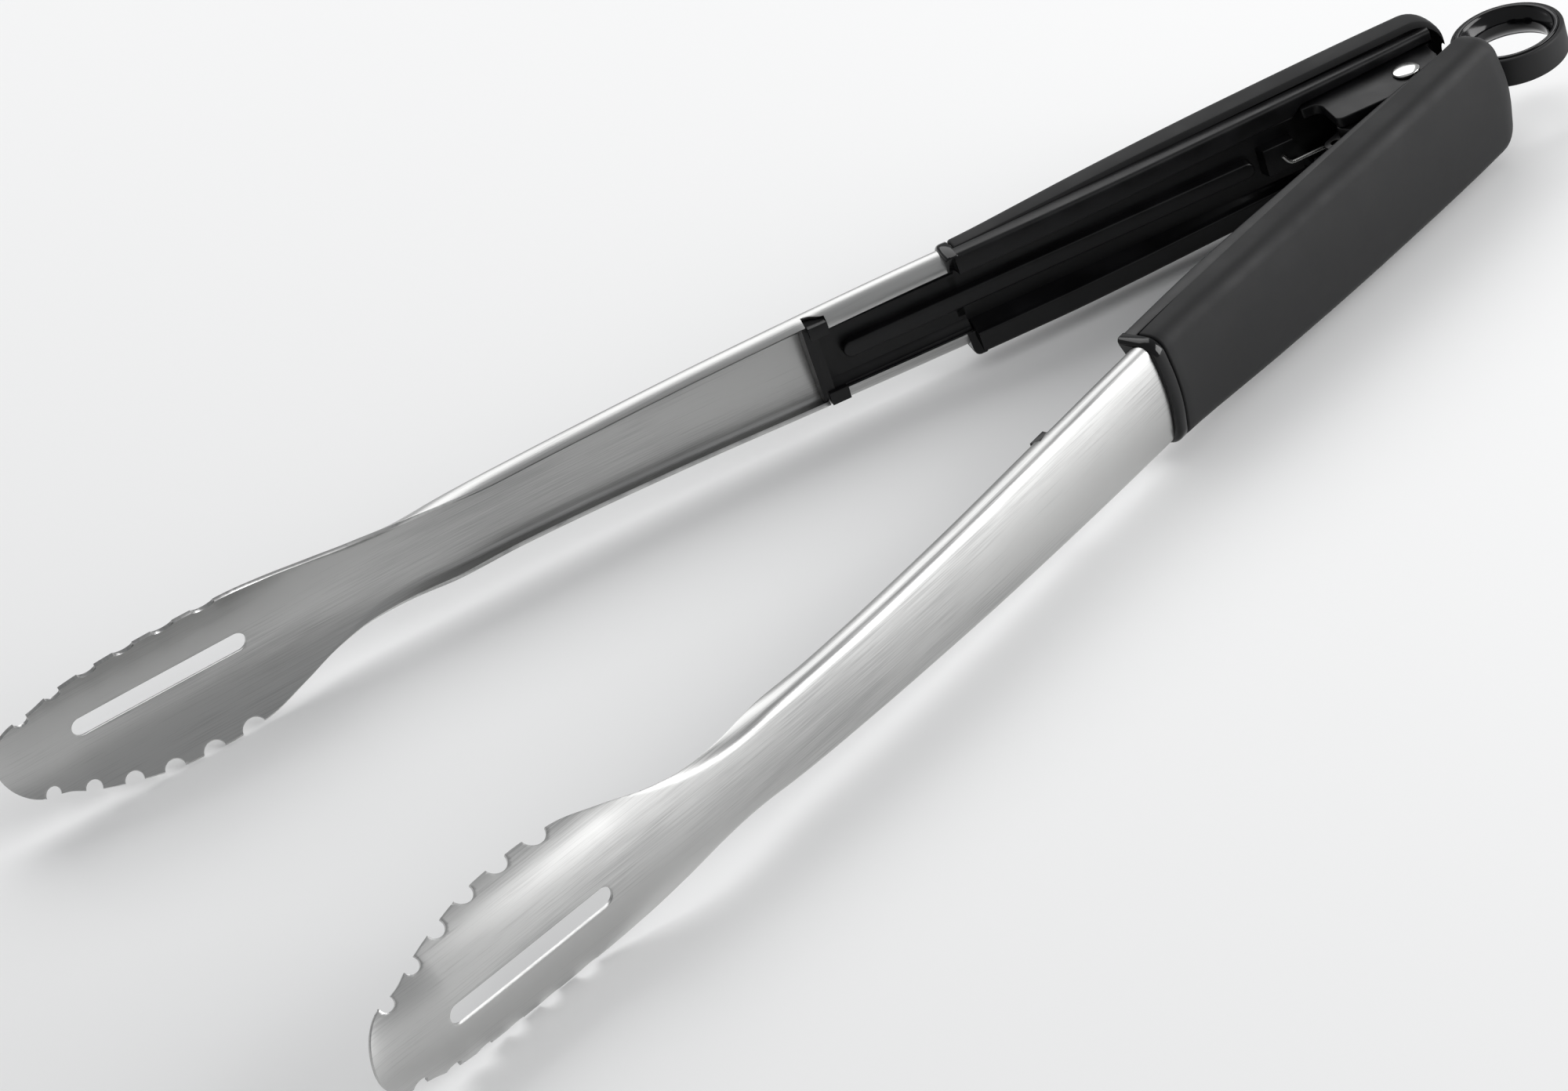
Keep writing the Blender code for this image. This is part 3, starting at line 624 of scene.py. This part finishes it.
def raisedBar(start, end, half, top, bottom, edge=0.6):
    # bar on the trough floor; after the turn, Y is minus the height it was drawn at
    bm = slab(roundEnded(start, end, half), -bottom, -top, edge, 3)
    bmesh.ops.rotate(bm, verts=bm.verts, matrix=Matrix.Rotation(math.pi / 2, 3, "X"))
    return bm


def earOutline():
    nose, depth, roof = core["earNose"], core["earDepth"], core["pocketFloor"] + 1
    front = [(nose + 5.2, roof), (nose + 5.2, 5.4)] + arcPoints((nose + 4.3, 5.2), 0.9, 0, -80, 4)
    front += [(nose + 2.4, 4.25), (nose + 1.4, 3.9), (nose + 0.6, 3.1), (nose + 0.2, 2.2), (nose, 1.2)]
    front += arcPoints((nose - 2.0, -depth + 2.0), 2.0, 0, -90, 8)
    rear = arcPoints((0, 0), depth, -90, -152, 16)
    return front + rear + [(-core["earRear"], 2.5), (-core["earRear"], roof)]


def collarRing(s, shrink):
    outer = gripOutline(s, along(grip["innerEdge"], s) + shrink, shrink, shrink)
    side = outer[3][0]
    inside = [formed(grip["front"], blankHalf(grip["front"]) * k / 16, -0.1) for k in range(-16, 17)]
    return section(s, outer) + [Vector((s, p.y, p.z)) for p in inside]


def boxRing(half, low, high):
    corners = ((half, low), (half, high), (-half, high), (-half, low))
    return lambda s: section(s, corners)


def makeCore(side):
    rails = list(range(-12, 28, 2)) + [28 + 0.5 * k for k in range(10)] + list(range(34, 132, 6)) + [132.5]
    main = mirrored(sweep(lambda s: section(s, railRing(s)), rails))
    floor, roof, front = core["troughFloor"], core["pocketFloor"], grip["front"]
    merge(main, sweep(boxRing(core["trough"] - 0.4, floor, floor + 2),
                      [core["pocketFront"] - 0.2, 80, front]))
    merge(main, sweep(boxRing(core["pocketHalf"] + 0.2, roof, roof + 1.5),
                      [grip["coreRear"] + 1, 0, core["pocketFront"]]))
    wall = core["tongueFront"] - core["tongueWall"]
    merge(main, sweep(tongueRing, [front - 2, 150, 160, 170, 172, wall + 0.3]))
    merge(main, sweep(rimRing, [wall + 0.6 * k for k in range(6)] + [core["tongueFront"]]))
    merge(main, raisedBar(core["ribStart"], core["ribEnd"], core["ribHalf"], core["ribTop"], floor + 0.5))
    seat = [(34, core["seatTop"]), (43, core["seatTop"]), (44, floor + 0.5), (33.5, floor + 0.5)]
    merge(main, slab(seat, -core["seatHalf"], core["seatHalf"], 0.5, 3))
    rear = steel["clipStart"] + opening["gap"]
    fore = steel["clipStart"] + steel["clipLength"] - opening["gap"]
    inner, outer, low, high = core["hook"]
    for across in (-1, 1):
        a, b = sorted((across * inner, across * outer))
        merge(main, slab([(rear, low), (fore, low), (fore, high), (rear, high)], a, b, 0.35))
    outerEar = core["earInner"] + core["ear"] + core["earGap"]
    for a, b in ((core["earInner"], core["earInner"] + core["ear"]), (-outerEar - core["ear"], -outerEar)):
        merge(main, slab(earOutline(), a, b, 0.35, 3))
    addPiece(side + "HandleBody", main, "satinNylon", side + "_side", armPlace[side], 32,
             [side + "_handle_core"])


def makeCollar(side):
    start, end = grip["front"] - grip["collar"], grip["front"]
    rims = {start: 0.5, start + 0.2: 0.15, start + 0.5: 0.0}
    rims.update({end - 1.4: 0.0, end - 0.8: 0.12, end - 0.35: 0.4, end: 0.95})
    bm = sweep(lambda s: collarRing(s, rims[s]), list(rims))
    addPiece(side + "Collar", bm, "glossNylon", side + "_side", armPlace[side], 40)


for side in ("near", "far"):
    makeCover(side)
    makeCore(side)
    makeCollar(side)
    print(side, "handle made")


pivot = {"rivet": 2.0, "head": 3.8, "headHeight": 1.3, "headEdge": 0.45, "seat": 11.2,
         "bushInner": 2.2, "bushOuter": 3.0, "bushEnd": 4.3,
         "wire": 0.6, "coil": 4.4, "pitch": 1.26, "turns": 3, "legOffset": 3.0, "legReach": 36.0, "hook": 3.0}


def makeRivet():
    seat, head, edge = pivot["seat"], pivot["head"], pivot["headEdge"]
    turns = [math.radians(a) for a in range(0, 90, 9)]
    rise = pivot["headHeight"] - edge
    dome = [(head * math.cos(a), seat + edge + rise * math.sin(a)) for a in turns]
    top = [(pivot["rivet"], seat), (head - 0.15, seat), (head, seat + 0.15)] + dome
    top.append((0, seat + pivot["headHeight"]))
    bm = spun(bothWays(top))
    addPiece("rivet", bm, "polished", "pivot", hingePlace, 40, ["pivot_rivet"])


def makeBush():
    inner, outer, end, edge = pivot["bushInner"], pivot["bushOuter"], pivot["bushEnd"], 0.15
    outside = [(outer - edge, -end), (outer, -end + edge), (outer, end - edge), (outer - edge, end)]
    ring = [(inner, -end)] + outside + [(inner, end), (inner, -end)]
    addPiece("spacerBush", spun(ring), "polished", "pivot", hingePlace, 40, ["pivot_bush"])


def onArm(s, d, z, side):
    a = math.radians(opening["halfAngle"])
    across = 1 if side == "far" else -1
    return Vector((-s * math.cos(a) + d * math.sin(a), across * (s * math.sin(a) + d * math.cos(a)), z))


def tube(name, points, radius, body, replaces=()):
    # round wire along points, turned into a mesh with rounded ends
    curve = bpy.data.curves.new(name, "CURVE")
    curve.dimensions = "3D"
    curve.bevel_depth, curve.bevel_resolution, curve.use_fill_caps = radius, 5, True
    line = curve.splines.new("POLY")
    line.points.add(len(points) - 1)
    for point, spot in zip(line.points, points):
        point.co = (*spot, 1.0)
    carrier = bpy.data.objects.new(name + "Line", curve)
    bpy.context.scene.collection.objects.link(carrier)
    bpy.context.view_layer.update()
    mesh = bpy.data.meshes.new_from_object(carrier)
    bpy.data.objects.remove(carrier)
    bm = bmesh.new()
    bm.from_mesh(mesh)
    bpy.data.meshes.remove(mesh)
    bmesh.ops.remove_doubles(bm, verts=bm.verts, dist=0.001)
    bmesh.ops.recalc_face_normals(bm, faces=bm.faces)
    addPiece(name, bm, "wire", body, hingePlace, 50, replaces)


def makeSpring():
    half = pivot["pitch"] * pivot["turns"] / 2
    reach, offset, hook = pivot["legReach"], pivot["legOffset"], pivot["hook"]
    radius = pivot["coil"]
    lean = math.asin((radius - offset) / reach)
    straight = [(radius * math.sin(lean), radius * math.cos(lean))]
    straight += [(s, radius - s * math.sin(lean)) for s in (12, 24)] + [(reach - 0.6, offset + 0.05)]
    bend = ((0.3, 0.06), (1.0, 0.25), (1.5, 0.5), (2.3, 1.0))
    tangents = {}
    for side, z, sign in (("near", half, -1), ("far", -half, 1)):
        leg = [onArm(s, d, z, side) for s, d in straight]
        leg += [onArm(reach + past, offset, z + sign * hook * share, side) for past, share in bend]
        tangents[side] = leg[0]
        tube(side + "SpringLeg", leg, pivot["wire"], side + "_side")
    start = math.atan2(tangents["near"].y, tangents["near"].x)
    end = math.atan2(tangents["far"].y, tangents["far"].x)
    sweepAngle = -((start - end) % math.tau) - math.tau * (pivot["turns"] - 1)
    count = 40 * pivot["turns"]
    coil = []
    for i in range(count + 1):
        a = start + sweepAngle * i / count
        coil.append(Vector((radius * math.cos(a), radius * math.sin(a), half - 2 * half * i / count)))
    tube("springCoil", coil, pivot["wire"], "pivot", ["torsion_spring"])


makeRivet()
makeBush()
makeSpring()
print("rivet, bush and spring made")


lock = {"prong": 1.2, "prongHalf": 4.7, "prongTip": 3.0, "pin": 1.5, "pinReach": 27.4, "barStart": 9.0,
        "barHalf": 3.0, "outer": 4.3, "ring": 34.5, "hole": 10.5, "mouth": 12.9,
        "coreRadius": 14.2, "half": 4.5,
        "band": 15.6, "bandHalf": 4.1}
lockPlace = hingePlace @ Matrix.Translation((lock["ring"], 0, 0))


def makeRing():
    hole, mouth, wall, half = lock["hole"], lock["mouth"], lock["coreRadius"], lock["half"]
    inside = [(hole + (mouth - hole) * (k / 8) ** 1.6, 0.9 + (half - 0.5 - 0.9) * (k / 8)) for k in range(9)]
    lip = arcPoints((mouth + 0.45, half - 0.45), 0.45, 160, 90, 3)
    edge = arcPoints((wall - 0.35, half - 0.35), 0.35, 90, 0, 4)
    profile = bothWays(inside + lip + edge)
    ring = spun(profile + [profile[0]], 96)
    addPiece("pullRing", ring, "glossNylon", "lock", lockPlace, 50)


def makeBand():
    inner, outer, half, edge = lock["coreRadius"] + 0.06, lock["band"], lock["bandHalf"], 0.7
    corner = arcPoints((outer - edge, half - edge), edge, 0, 90, 6)
    inside = arcPoints((inner + 0.25, half - 0.25), 0.25, 90, 180, 3)
    profile = bothWays(corner + inside)
    start = math.degrees(math.asin((lock["barHalf"] + 0.3) / outer))
    sweepAngle = math.radians(360 - 2 * start)
    bm = bmesh.new()
    path = [bm.verts.new((r, 0, z)) for r, z in profile]
    edges = [bm.edges.new(pair) for pair in zip(path, path[1:] + path[:1])]
    turn = Matrix.Rotation(math.radians(-180 + start), 3, "Z")
    bmesh.ops.rotate(bm, verts=path, cent=(0, 0, 0), matrix=turn)
    bmesh.ops.spin(bm, geom=path + edges, axis=(0, 0, 1), cent=(0, 0, 0), steps=96, angle=sweepAngle)
    closeUp(bm)
    addPiece("ringBand", bm, "cover", "lock", lockPlace, 40, ["ring_band"])


def makeSlide():
    tip, side, end = -lock["pinReach"], lock["prongHalf"], lock["prongTip"]
    back = lock["barStart"] + 4
    outline = arcPoints((tip, 0), end, 110, 250, 10)
    outline += [(tip + 9, -side), (back, -side), (back, side), (tip + 9, side)]
    outer = lock["outer"]
    slide = slab(outline, outer - lock["prong"], outer, 0.2)
    merge(slide, slab(outline, -outer, -outer + lock["prong"], 0.2))
    reach = lock["ring"] - lock["coreRadius"] + 1
    half = lock["barHalf"]
    start = lock["barStart"]
    bar = [(start, -half), (reach, -half), (reach, half), (start, half)]
    merge(slide, slab(bar, -outer + 0.1, outer - 0.1, 0.5, 3))
    addPiece("pullSlide", slide, "satinNylon", "lock", hingePlace, 35, ["lock_slide"])


def makePin():
    radius, end, edge = lock["pin"], lock["outer"], 0.2
    side = [(radius - edge, -end), (radius, -end + edge), (radius, end - edge), (radius - edge, end)]
    pin = spun([(0, -end)] + side + [(0, end)], 40)
    place = hingePlace @ Matrix.Translation((-lock["pinReach"], 0, 0))
    addPiece("crossPin", pin, "polished", "lock", place, 40, ["lock_pin"])


makeRing()
makeBand()
makeSlide()
makePin()
print("lock made")


view = {"azimuth": -24.6, "elevation": 32.1, "roll": 19.55, "distance": 1318.0, "focal": 6688.0,
        "target": (-223.2, -10.2, 0), "frameWidth": 2000, "sensor": 36, "reach": (0.05, 20)}
softboxes = {
    "topSoftbox": {"size": (1.6, 1.1), "power": 11, "place": (0.3, 0.9, 1.1), "aim": (-0.1, 0.0, 0.0)},
    "rightSoftbox": {"size": (1.3, 0.9), "power": 24, "place": (1.15, -0.85, 0.5), "aim": (-0.1, 0.0, -0.05)},
}
stage = {"floor": "F4F4F4", "floorSize": 4.0, "floorDrop": 0.0002,
         "sky": (0.85, 0.86, 0.87, 1), "skyStrength": 0.42}


def makeStage():
    bm = bmesh.new()
    bmesh.ops.create_grid(bm, x_segments=1, y_segments=1, size=stage["floorSize"])
    mesh = bpy.data.meshes.new("floor")
    bm.to_mesh(mesh)
    bm.free()
    paper = newMaterial("paperFloor", {"Base Color": linear(stage["floor"]), "Roughness": 0.9})[0]
    mesh.materials.append(paper)
    floor = bpy.data.objects.new("floor", mesh)
    floor.location.z = -stage["floorDrop"]
    bpy.context.scene.collection.objects.link(floor)


def addLight(name, size, power, place, aim):
    data = bpy.data.lights.new(name, "AREA")
    data.shape, data.size, data.size_y, data.energy = "RECTANGLE", size[0], size[1], power
    lamp = bpy.data.objects.new(name, data)
    lamp.location = place
    lamp.rotation_mode = "QUATERNION"
    lamp.rotation_quaternion = (Vector(aim) - Vector(place)).to_track_quat("-Z", "Y")
    bpy.context.scene.collection.objects.link(lamp)


def makeCamera():
    a, e, roll = (math.radians(view[k]) for k in ("azimuth", "elevation", "roll"))
    forward = Vector((-math.sin(a) * math.cos(e), math.cos(a) * math.cos(e), -math.sin(e)))
    right = Vector((math.cos(a), math.sin(a), 0))
    up = right.cross(forward)
    turnedRight = math.cos(roll) * right - math.sin(roll) * up
    turnedUp = math.sin(roll) * right + math.cos(roll) * up
    data = bpy.data.cameras.new("camera")
    data.sensor_width = view["sensor"]
    data.lens = view["focal"] / view["frameWidth"] * view["sensor"]
    data.clip_start, data.clip_end = view["reach"]
    camera = bpy.data.objects.new("camera", data)
    spot = hinge + (Vector(view["target"]) - forward * view["distance"]) * mm
    turn = Matrix((turnedRight, turnedUp, -forward)).transposed().to_4x4()
    camera.matrix_world = Matrix.Translation(spot) @ turn
    bpy.context.scene.collection.objects.link(camera)
    bpy.context.scene.camera = camera


makeStage()
makeCamera()
for name, box in softboxes.items():
    addLight(name, box["size"], box["power"], box["place"], box["aim"])
world = bpy.data.worlds.new("studio")
world.use_nodes = True
world.node_tree.nodes["Background"].inputs["Color"].default_value = stage["sky"]
world.node_tree.nodes["Background"].inputs["Strength"].default_value = stage["skyStrength"]
bpy.context.scene.world = world
bpy.context.scene.view_settings.view_transform = "Standard"
print("stage set")
